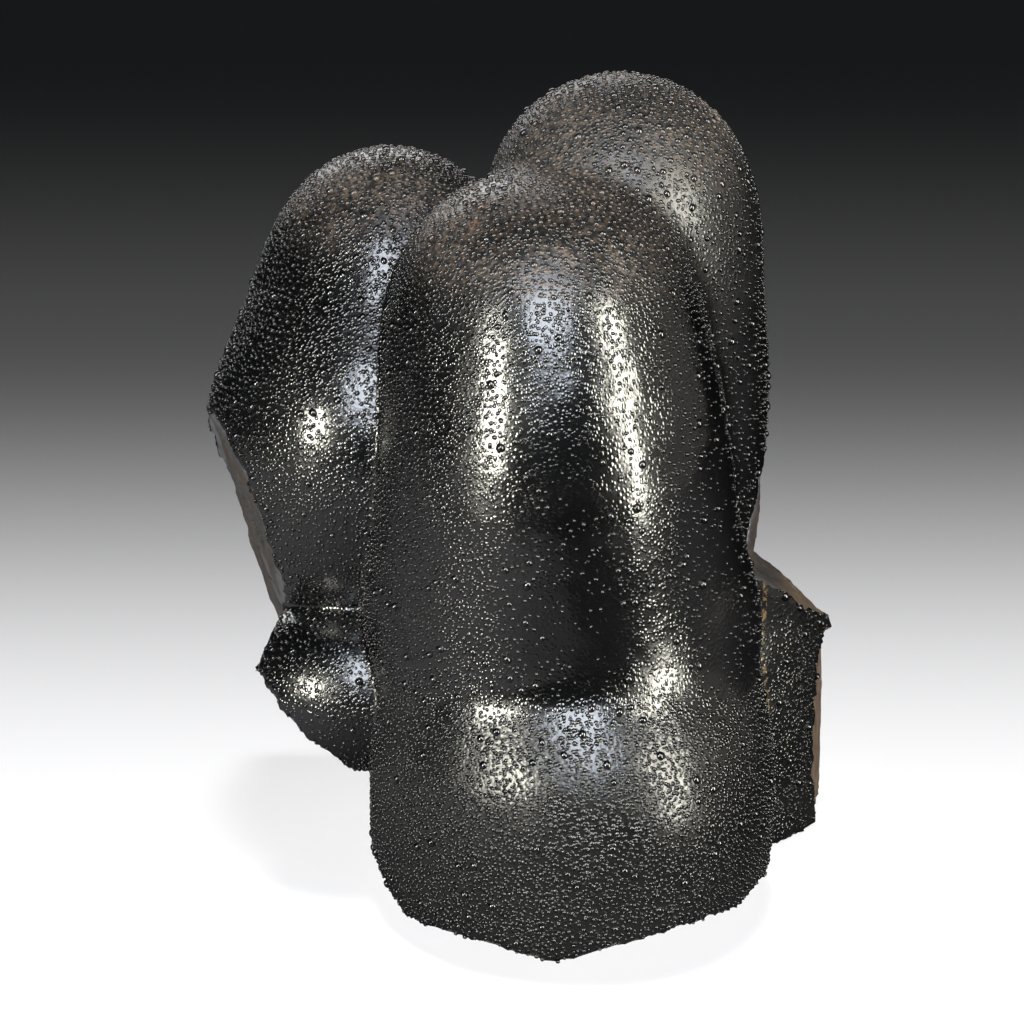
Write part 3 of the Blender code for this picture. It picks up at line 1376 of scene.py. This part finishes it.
class GroupMaker:
    """Builds a shader node group that several materials share.

    Attributes:
        name: Name of the group.
        inputs: Name, socket type and default of each input.
        outputs: Name and socket type of each output.
    """

    name = "group"
    inputs: tuple[tuple[str, str, object], ...] = ()
    outputs: tuple[tuple[str, str], ...] = ()

    def group(self) -> bpy.types.NodeTree:
        """Return the group, and build it the first time.

        Returns:
            The node group.
        """
        known = bpy.data.node_groups.get(self.name)
        if known:
            return known
        tree = bpy.data.node_groups.new(self.name, "ShaderNodeTree")
        for name, kind, value in self.inputs:
            socket = tree.interface.new_socket(name, in_out="INPUT", socket_type=kind)
            if value is not None:
                socket.default_value = value
        for name, kind in self.outputs:
            tree.interface.new_socket(name, in_out="OUTPUT", socket_type=kind)
        bench = Bench(tree)
        self.fill(bench, tree.nodes.new("NodeGroupInput"), tree.nodes.new("NodeGroupOutput"))
        return tree

    def fill(self, bench: Bench, given: bpy.types.Node, wanted: bpy.types.Node) -> None:
        """Place the group's nodes.

        Args:
            bench: The group's tree.
            given: Node with the inputs.
            wanted: Node that takes the outputs.
        """
        raise NotImplementedError

    def place(self, bench: Bench, **values: object) -> bpy.types.Node:
        """Use the group in a material.

        Args:
            bench: The material's tree.
            **values: Values or sockets for the inputs.

        Returns:
            The group node.
        """
        made = bench.node("Group", node_tree=self.group())
        for name, value in values.items():
            bench.feed(made.inputs[name], value)
        return made


class PebbledSkin(GroupMaker):
    """Fine grains of the skin, too small for beads.

    Attributes:
        domes_per_mm: Domes to the millimetre.
        width: What chance adds to a dome's half width, and the least one, in cells.
        steepness: Height of a dome as a share of its half width.
        grit: The unevenness over the domes.
        grit_height: Its height.
    """

    name = "pebbled_skin"
    inputs = (
        ("Place", "NodeSocketVector", None),
        ("Pebbling", "NodeSocketFloat", 0.5),
    )
    outputs = (("Height", "NodeSocketFloat"), ("Dip", "NodeSocketFloat"))

    domes_per_mm: float = 2.3
    width: Range = (0.26, 0.36)
    steepness: float = 2.2
    grit: Cloud = Cloud(3.6, 0.0)
    grit_height: float = 0.35

    def fill(self, bench: Bench, given: bpy.types.Node, wanted: bpy.types.Node) -> None:
        """Place the nodes that set small domes side by side.

        Args:
            bench: The group's tree.
            given: Node with the inputs.
            wanted: Node that takes the outputs.
        """
        place = given.outputs["Place"]
        domes, out = self.domes(bench, place)
        heap = bench.line(bench.noise(place, self.grit), self.grit_height, domes)
        bench.feed(wanted.inputs["Height"], bench.times(heap, given.outputs["Pebbling"]))
        bench.feed(wanted.inputs["Dip"], out)

    def domes(self, bench: Bench, place: Socket) -> tuple[Socket, Socket]:
        """Set domes of random width apart.

        Args:
            bench: The group's tree.
            place: Place in millimetres.

        Returns:
            Height, and distance from the dome's middle as a share of its width.
        """
        cells = bench.node("TexVoronoi", feature="F1")
        bench.feed(cells.inputs["Vector"], place)
        bench.feed(cells.inputs["Scale"], self.domes_per_mm)
        chance = bench.node("SeparateColor")
        bench.feed(chance.inputs[0], cells.outputs["Color"])
        reach = bench.line(chance.outputs["Red"], *self.width)
        out = bench.math("MINIMUM", bench.math("DIVIDE", cells.outputs["Distance"], reach), 1.0)
        dome = bench.math("SUBTRACT", 1.0, bench.times(out, out))
        return bench.times(dome, bench.times(reach, self.steepness)), out


class RustDust(GroupMaker):
    """Brown dust where it has settled, with a few rust specks.

    Attributes:
        earth: Thick dust.
        slate: Thin dust.
        rust: Rust specks.
        clouds: Pattern of the dust.
        flecks: Range over which it thickens.
        fleck_share: How much of it is in flecks, and how much is everywhere.
        earthy: Range over which it turns from slate to earth.
        grit: Pattern of the specks.
        speck_limit: How rust lowers the limit that a speck has to pass, and the limit.
        speck_edge: How far past it a speck is whole.
    """

    name = "rust_dust"
    inputs = (
        ("Place", "NodeSocketVector", None),
        ("Dust", "NodeSocketFloat", 0.0),
        ("Rust", "NodeSocketFloat", 0.0),
        ("Clean", "NodeSocketColor", (0.01, 0.01, 0.01, 1.0)),
    )
    outputs = (("Colour", "NodeSocketColor"), ("Dull", "NodeSocketFloat"))

    earth: Colour = (0.165, 0.118, 0.084)
    slate: Colour = (0.070, 0.067, 0.068)
    rust: Colour = (0.30, 0.105, 0.030)
    clouds: Cloud = Cloud(1.6, 2.0, 0.65)
    flecks: Range = (0.40, 0.66)
    fleck_share: Range = (0.6, 0.4)
    earthy: Range = (0.42, 0.60)
    grit: Cloud = Cloud(2.4, 1.0)
    speck_limit: Range = (-0.30, 0.86)
    speck_edge: float = 0.06

    def fill(self, bench: Bench, given: bpy.types.Node, wanted: bpy.types.Node) -> None:
        """Place the nodes that break the dust up into flecks.

        Args:
            bench: The group's tree.
            given: Node with the inputs.
            wanted: Node that takes the outputs.
        """
        place = given.outputs["Place"]
        cloud = bench.noise(place, self.clouds)
        share = bench.line(bench.rise(cloud, *self.flecks), *self.fleck_share)
        dust = bench.times(given.outputs["Dust"], share)
        limit = bench.line(given.outputs["Rust"], *self.speck_limit)
        over = bench.math("SUBTRACT", bench.noise(place, self.grit), limit)
        specks = bench.rise(over, 0.0, self.speck_edge)
        tint = bench.mix(bench.rise(cloud, *self.earthy), self.slate, self.earth)
        dusty = bench.mix(dust, given.outputs["Clean"], tint)
        bench.feed(wanted.inputs["Colour"], bench.mix(specks, dusty, self.rust))
        bench.feed(wanted.inputs["Dull"], bench.math("MAXIMUM", dust, specks))


@dataclass(frozen=True)
class SkinFinish:
    """Near black, glossy, pebbled skin.

    Attributes:
        name: Name of the material.
        black: Clean skin.
        ior: How strongly the skin mirrors.
        gloss: Roughness of clean and of dusty skin.
        grainy: How much rougher the skin is where it is matte.
        bump: Height of the fine grains in metres.
    """

    name: str = "hematite_skin"
    black: Colour = (0.0030, 0.0030, 0.0034)
    ior: float = 2.2
    gloss: Range = (0.13, 0.60)
    grainy: float = 0.38
    bump: float = 0.062 * MM

    def material(self) -> bpy.types.Material:
        """Make the material.

        Returns:
            The new material.
        """
        made = bpy.data.materials.new(self.name)
        made.use_nodes = True
        bench = Bench(made.node_tree)
        shader = made.node_tree.nodes["Principled BSDF"]
        shader.inputs["IOR"].default_value = self.ior
        colour, roughness, height = self.surface(bench, bench.millimetres())
        bump = bench.node("Bump")
        bench.feed(bump.inputs["Distance"], self.bump)
        bench.feed(bump.inputs["Height"], height)
        bench.feed(shader.inputs["Base Color"], colour)
        bench.feed(shader.inputs["Roughness"], roughness)
        bench.feed(shader.inputs["Normal"], bump.outputs["Normal"])
        return made

    def dusted(self, bench: Bench, place: Socket, dust: Socket) -> tuple[Socket, Socket]:
        """Lay dust and rust on the clean skin.

        Args:
            bench: The material's tree.
            place: Place in millimetres.
            dust: How much dust has settled.

        Returns:
            Colour, and how dull it is.
        """
        rust = bench.attribute("rust")
        made = RustDust().place(bench, Place=place, Dust=dust, Rust=rust, Clean=self.black)
        return made.outputs["Colour"], made.outputs["Dull"]

    def surface(self, bench: Bench, place: Socket) -> tuple[Socket, Socket, Socket]:
        """Place the nodes of the skin.

        Args:
            bench: The material's tree.
            place: Place in millimetres.

        Returns:
            Colour, roughness and height.
        """
        pebbles = PebbledSkin().place(bench, Place=place, Pebbling=bench.attribute("pebbling"))
        settled = bench.times(bench.attribute("dust"), pebbles.outputs["Dip"])
        colour, dull = self.dusted(bench, place, settled)
        clean, dusty = self.gloss
        shiny = bench.line(bench.attribute("matte"), self.grainy, clean)
        return colour, bench.blend(dull, shiny, dusty), pebbles.outputs["Height"]


@dataclass(frozen=True)
class BeadFinish(SkinFinish):
    """The same skin on the beads, with grains too fine to see and dust round their feet.

    Attributes:
        grain: Pattern of those grains.
    """

    name: str = "hematite_beads"
    gloss: Range = (0.07, 0.60)
    bump: float = 0.006 * MM
    grain: Cloud = Cloud(5.0, 0.0)

    def surface(self, bench: Bench, place: Socket) -> tuple[Socket, Socket, Socket]:
        """Place the nodes of the beads, in the same terms as those of the skin."""
        colour, dull = self.dusted(bench, place, bench.attribute("dust"))
        return colour, bench.blend(dull, *self.gloss), bench.noise(place, self.grain)


@dataclass(frozen=True)
class BreakFinish(SkinFinish):
    """Fibrous ore under the skin, in growth layers, with skin over it at the edges.

    Depths and places are in millimetres. A third number in a range is its greatest share.

    Attributes:
        lavender: The layer just under the skin.
        steel: Grey layers.
        brown: Brown layers.
        red: Darker red-brown layers.
        dark: The thin line under the lavender layer.
        clay: The weathered right side of the slab.
        gold: The thin ochre seam along the slab.
        skin_edge: Range of depths over which skin gives way to ore.
        drift: How the layers wander.
        drift_reach: How far they do, and the middle of it.
        rings: Pattern of the layers by depth.
        brown_edge: Range of the pattern over which steel turns brown.
        red_edge: Range over which it turns red.
        rim: Range of depths over which the lavender layer fades in.
        line_depth: Depth of the dark line.
        line_edge: Range of distances from it over which it fades in.
        clay_edge: Range of X over which the clay fades in.
        streaks: Pattern of the fibres.
        fine_streaks: Pattern of the fine fibres.
        streak_shade: How much brighter the fibres are.
        blotches: Pattern of the blotches.
        blotch_shade: How much brighter they are, and what is taken off everywhere.
        seam_edge: Range of nearness over which the seam fades in.
        seam_blotch: Range of the blotches over which it does.
        fibre_gloss: How much rougher the fibres are, and the least roughness.
        ridges: Height of the fine fibres and of the fibres.
        grit: Pattern of the grit.
        grit_height: Its height.
        skin_height: Height of the skin's grains here.
    """

    name: str = "hematite_break"
    bump: float = 0.050 * MM
    lavender: Colour = (0.115, 0.113, 0.132)
    steel: Colour = (0.046, 0.045, 0.047)
    brown: Colour = (0.070, 0.050, 0.037)
    red: Colour = (0.040, 0.022, 0.017)
    dark: Colour = (0.010, 0.009, 0.010)
    clay: Colour = (0.165, 0.112, 0.070)
    gold: Colour = (0.20, 0.135, 0.052)
    skin_edge: Range = (0.10, 0.22)
    drift: Cloud = Cloud(0.22, 4.0, 0.6)
    drift_reach: Range = (4.4, -2.2)
    rings: Cloud = Cloud(0.75, 3.0)
    brown_edge: Range = (0.38, 0.62)
    red_edge: Triple = (0.58, 0.70, 0.80)
    rim: Triple = (2.1, 0.9, 0.85)
    line_depth: float = 1.45
    line_edge: Triple = (0.14, 0.04, 0.60)
    clay_edge: Triple = (25.5, 29.0, 0.85)
    streaks: Cloud = Cloud(55.0, 3.0, 0.6)
    fine_streaks: Cloud = Cloud(150.0, 1.0)
    streak_shade: float = 2.6
    blotches: Cloud = Cloud(1.3, 3.0, 0.6)
    blotch_shade: Range = (1.1, -1.35)
    seam_edge: Range = (0.46, 0.76)
    seam_blotch: Range = (0.42, 0.56)
    fibre_gloss: Range = (0.40, 0.20)
    ridges: Range = (0.9, 2.2)
    grit: Cloud = Cloud(4.0, 2.0, 0.6)
    grit_height: float = 0.9
    skin_height: float = 0.4

    def layers(self, bench: Bench, place: Socket, depth: Socket) -> Socket:
        """Colour the growth layers.

        Args:
            bench: The material's tree.
            place: Place in millimetres.
            depth: Depth under the skin.

        Returns:
            The colour.
        """
        drift = bench.line(bench.noise(place, self.drift), *self.drift_reach)
        layer = bench.math("ADD", depth, drift)
        rings = bench.noise(layer, self.rings, "1D")
        off_line = bench.math("ABSOLUTE", bench.math("SUBTRACT", layer, self.line_depth))
        colour = bench.mix(bench.rise(rings, *self.brown_edge), self.steel, self.brown)
        for value, ends, paint in (
            (rings, self.red_edge, self.red),
            (layer, self.rim, self.lavender),
            (off_line, self.line_edge, self.dark),
            (bench.across(place), self.clay_edge, self.clay),
        ):
            colour = bench.mix(bench.rise(value, *ends), colour, paint)
        return colour

    def surface(self, bench: Bench, place: Socket) -> tuple[Socket, Socket, Socket]:
        """Lay the broken ore over the skin where the surface lies below it.

        Args:
            bench: The material's tree.
            place: Place in millimetres.

        Returns:
            Colour, roughness and height of skin and breaks together.
        """
        colour, roughness, height = super().surface(bench, place)
        depth, seam = bench.attribute("depth"), bench.attribute("seam")
        fibre = bench.attribute("fibre", vector=True)
        broken = bench.rise(depth, *self.skin_edge)
        streak = bench.noise(fibre, self.streaks)
        fine_streak = bench.noise(fibre, self.fine_streaks)
        blotch = bench.noise(place, self.blotches)
        streaks = bench.line(streak, self.streak_shade, fine_streak)
        shade = bench.math("ADD", streaks, bench.line(blotch, *self.blotch_shade))
        inner = bench.scaled(self.layers(bench, place, depth), shade)
        colour = bench.mix(broken, colour, inner)
        patchy = bench.rise(blotch, *self.seam_blotch)
        golden = bench.times(bench.rise(seam, *self.seam_edge), patchy)
        colour = bench.mix(golden, colour, self.gold)
        roughness = bench.blend(broken, roughness, bench.line(streak, *self.fibre_gloss))
        fine, wide = self.ridges
        ridges = bench.line(fine_streak, fine, bench.times(streak, wide))
        grit = bench.line(bench.noise(place, self.grit), self.grit_height, ridges)
        skin_height = bench.times(height, self.skin_height)
        return colour, roughness, bench.blend(broken, skin_height, grit)


def area_light(name: str, size: Range, glow: float) -> bpy.types.Object:
    """Make a rectangular light that the camera doesn't see.

    Args:
        name: Name of the light.
        size: Width and height in metres.
        glow: Brightness of its face.

    Returns:
        The light.
    """
    data = bpy.data.lights.new(name, "AREA")
    data.shape = "RECTANGLE"
    data.size, data.size_y = size
    data.energy = glow * math.pi * size[0] * size[1]
    light = placed(name, data)
    light.visible_camera = False
    return light


@dataclass(frozen=True)
class Softbox:
    """One soft studio light that shines on the piece alone.

    Attributes:
        name: Name of the light.
        azimuth: Where it stands round the piece, 0 in front and above 0 to the right.
        elevation: Height over the floor in degrees.
        width: Width in metres.
        height: Height in metres.
        glow: Brightness of its face.
        tint: Colour.
        distance: Distance in metres.
    """

    name: str
    azimuth: float
    elevation: float
    width: float
    height: float
    glow: float
    tint: Colour
    distance: float = 0.42

    def place(self, target: Vector, lit: bpy.types.Collection) -> None:
        """Hang the light so that it looks at the target.

        Args:
            target: Where it looks.
            lit: What it shines on.
        """
        light = area_light(self.name, (self.width, self.height), self.glow)
        light.data.color = self.tint
        light.light_linking.receiver_collection = lit
        turn, lift = math.radians(self.azimuth), math.radians(self.elevation)
        out = math.cos(lift)
        way = Vector((math.sin(turn) * out, -math.cos(turn) * out, math.sin(lift)))
        light.location = target + way * self.distance
        light.rotation_euler = way.to_track_quat("Z", "Y").to_euler()


@dataclass(frozen=True)
class FloorLamp:
    """One light over the floor.

    Attributes:
        name: Name of the light.
        level: How bright it makes the floor.
        edge: How far back it reaches, in metres.
        spread: How softly it fades there, in degrees.
        shadow: Whether the piece throws a shadow in it.
    """

    name: str
    level: float
    edge: float
    spread: float
    shadow: bool = False


@dataclass(frozen=True)
class Studio:
    """Floor, lights, world and camera, in metres.

    Attributes:
        cool: Tint of the light above.
        warm: Tint of the lights at the sides.
        white: Tint of the light behind.
        clay: Tint of the wall on the right.
        floor_size: Width of the floor.
        floor_paint: Its colour.
        floor_roughness: Its roughness.
        mirrored: Brightness of the painted reflection floor, as the skin mirrors it, in the
            middle.
        mirrored_steps: Range of X in millimetres and what it adds to that.
        mirrored_far: Range of distances in millimetres over which it fades in.
        foot_shade_fade: Range of distances and what it adds to the share at the foot, where the
            painted shade fades out.
        foot_painted_shade: Share of the painted reflection that shows at the foot of the piece, a
            painted shade under it.
        floor_light_size: Width and length of the floor's lights.
        floor_light_height: Their height.
        room_tint: Colour of the dark surroundings.
        room_glow: Their brightness.
        camera_elevation: How far the camera looks down, in degrees.
        camera_distance: How far away it stands.
        camera_target: The point in the middle of its view.
        view_width: Width of the view there.
        sensor: Width of its sensor in millimetres.
        camera_clip: Distance from which it sees.
    """

    cool: Colour = (0.84, 0.90, 1.0)
    warm: Colour = (1.0, 0.97, 0.84)
    white: Colour = (1.0, 1.0, 1.0)
    clay: Colour = (1.0, 0.94, 0.84)
    floor_size: float = 4.0
    floor_paint: Colour = (0.80, 0.80, 0.81)
    floor_roughness: float = 0.8
    mirrored: float = 0.082
    mirrored_steps: tuple[Triple, ...] = (
        (-5.0, -60.0, 0.088),
        (12.0, 45.0, -0.066),
        (80.0, 190.0, 0.064),
    )
    mirrored_far: Range = (700.0, 160.0)
    foot_shade_fade: Triple = (18.0, 40.0, 0.6)
    foot_painted_shade: float = 0.4
    floor_light_size: Range = (1.6, 1.1)
    floor_light_height: float = 0.8
    room_tint: Colour = (0.9, 0.95, 1.0)
    room_glow: float = 0.012
    camera_elevation: float = 22.0
    camera_distance: float = 0.45
    camera_target: Triple = (-0.7 * MM, 0.0, 36.8 * MM)
    view_width: float = 102.4 * MM
    sensor: float = 36.0
    camera_clip: float = 0.01

    def softboxes(self) -> list[Softbox]:
        """List the lights on the piece.

        Returns:
            One cool above, two warm at the sides, a dim wall and one low behind.
        """
        return [
            Softbox("cool_top", 0, 48, 0.19, 0.25, 6.5, self.cool),
            Softbox("warm_left", -42, 18, 0.09, 0.16, 23.0, self.warm),
            Softbox("warm_right", 54, 15, 0.10, 0.42, 13.5, self.warm),
            Softbox("right_wall", 100, 10, 0.38, 0.36, 0.19, self.clay),
            Softbox("low_back", 190, 18, 0.36, 0.20, 3.6, self.white, 0.5),
        ]

    def floor_lamps(self) -> list[FloorLamp]:
        """List the lights on the floor.

        Returns:
            Even light, a soft shadow, and a fade behind the piece.
        """
        return [
            FloorLamp("floor_light", 0.80, 0.060, 14.0),
            FloorLamp("floor_shadow", 0.22, 0.060, 14.0, True),
            FloorLamp("floor_fade", 0.10, 0.170, 18.0),
        ]

    def build(self, pieces: list[bpy.types.Object]) -> None:
        """Set up the studio.

        Args:
            pieces: The pieces of the object.
        """
        target = Vector(self.camera_target)
        lit = bpy.data.collections.new("lit_pieces")
        for piece in pieces:
            lit.objects.link(piece)
        for softbox in self.softboxes():
            softbox.place(target, lit)
        self.light_floor(self.floor())
        self.world()
        self.camera(target)
        bpy.context.scene.view_settings.view_transform = "Standard"

    def light_floor(self, floor: bpy.types.Object) -> None:
        """Light the floor evenly from above and let it fade behind the piece.

        Args:
            floor: The floor.
        """
        lit = bpy.data.collections.new("lit_floor")
        lit.objects.link(floor)
        for lamp in self.floor_lamps():
            glow = lamp.level / self.floor_paint[0]
            light = area_light(lamp.name, self.floor_light_size, glow)
            light.data.spread = math.radians(lamp.spread)
            back = lamp.edge - self.floor_light_size[1] / 2
            light.location = (0, back, self.floor_light_height)
            light.light_linking.receiver_collection = lit
            if not lamp.shadow:
                light.light_linking.blocker_collection = lit

    def floor(self) -> bpy.types.Object:
        """Lay the plain pale floor.

        Returns:
            The floor.
        """
        mesh = bpy.data.meshes.new("floor")
        half = self.floor_size / 2
        corners = [(-half, -half, 0), (half, -half, 0), (half, half, 0), (-half, half, 0)]
        mesh.from_pydata(corners, [], [(0, 1, 2, 3)])
        floor = placed("floor", mesh)
        paint = bpy.data.materials.new("pale_floor")
        paint.use_nodes = True
        bench = Bench(paint.node_tree)
        shader = paint.node_tree.nodes["Principled BSDF"]
        # Painted reflection: glossy rays see a dim painted floor, while the camera sees the plain
        # pale one.
        mirrored = bench.node("LightPath").outputs["Is Glossy Ray"]
        colour = bench.mix(mirrored, self.floor_paint, self.painted_floor_reflection(bench))
        bench.feed(shader.inputs["Base Color"], colour)
        shader.inputs["Roughness"].default_value = self.floor_roughness
        shader.inputs["Specular IOR Level"].default_value = 0.0
        mesh.materials.append(paint)
        return floor

    def painted_floor_reflection(self, bench: Bench) -> Socket:
        """Paint the floor as the skin mirrors it, a painted reflection: dim, and darker to the
        right and far away, and darker at the foot as painted shade.

        Args:
            bench: The floor material's tree.

        Returns:
            The colour.
        """
        place = bench.millimetres()
        across = bench.across(place)
        away = bench.node("VectorMath", operation="LENGTH")
        bench.feed(away.inputs[0], place)
        distance = away.outputs["Value"]
        # Painted reflection: brighter to the left, dimmer to the right, fading far from the
        # piece.
        level: object = self.mirrored
        for start, end, adds in self.mirrored_steps:
            level = bench.math("ADD", level, bench.rise(across, start, end, adds))
        level = bench.times(level, bench.rise(distance, *self.mirrored_far))
        # Painted shade: the mirrored floor is darker near the foot of the piece.
        foot = bench.math("ADD", self.foot_painted_shade, bench.rise(distance, *self.foot_shade_fade))
        grey = bench.node("CombineColor")
        for socket in grey.inputs:
            bench.feed(socket, bench.times(level, foot))
        return grey.outputs[0]

    def world(self) -> None:
        """Fill the dark surroundings with a little light."""
        world = bpy.data.worlds.new("dim_room")
        bpy.context.scene.world = world
        world.use_nodes = True
        back = world.node_tree.nodes["Background"]
        back.inputs["Color"].default_value = (*self.room_tint, 1.0)
        back.inputs["Strength"].default_value = self.room_glow

    def camera(self, target: Vector) -> None:
        """Aim the camera as the photograph was taken.

        Args:
            target: The point in the middle of the view.
        """
        data = bpy.data.cameras.new("camera")
        data.sensor_width = self.sensor
        data.lens = self.sensor * self.camera_distance / self.view_width
        data.clip_start = self.camera_clip
        camera = placed("camera", data)
        lift = math.radians(self.camera_elevation)
        way = Vector((0, -math.cos(lift), math.sin(lift)))
        camera.location = target + way * self.camera_distance
        camera.rotation_euler = way.to_track_quat("Z", "Y").to_euler()
        bpy.context.scene.camera = camera


def report(piece: bpy.types.Object) -> None:
    """Log a piece's name and size.

    Args:
        piece: The piece to report.
    """
    piece.data.calc_loop_triangles()
    log.info("%s: %d triangles", piece.name, len(piece.data.loop_triangles))


def main() -> None:
    """Build the piece, its crust and the studio."""
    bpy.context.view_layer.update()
    ore = OreBody().build()
    pieces = [ore]
    bead_finish = BeadFinish().material()
    for number, zone in enumerate(Zone):
        pieces.append(BeadCrust(zone, seed=20 + number).build(ore, bead_finish))
    for piece in pieces:
        report(piece)
    Studio().build(pieces)


if __name__ == "__main__":
    main()
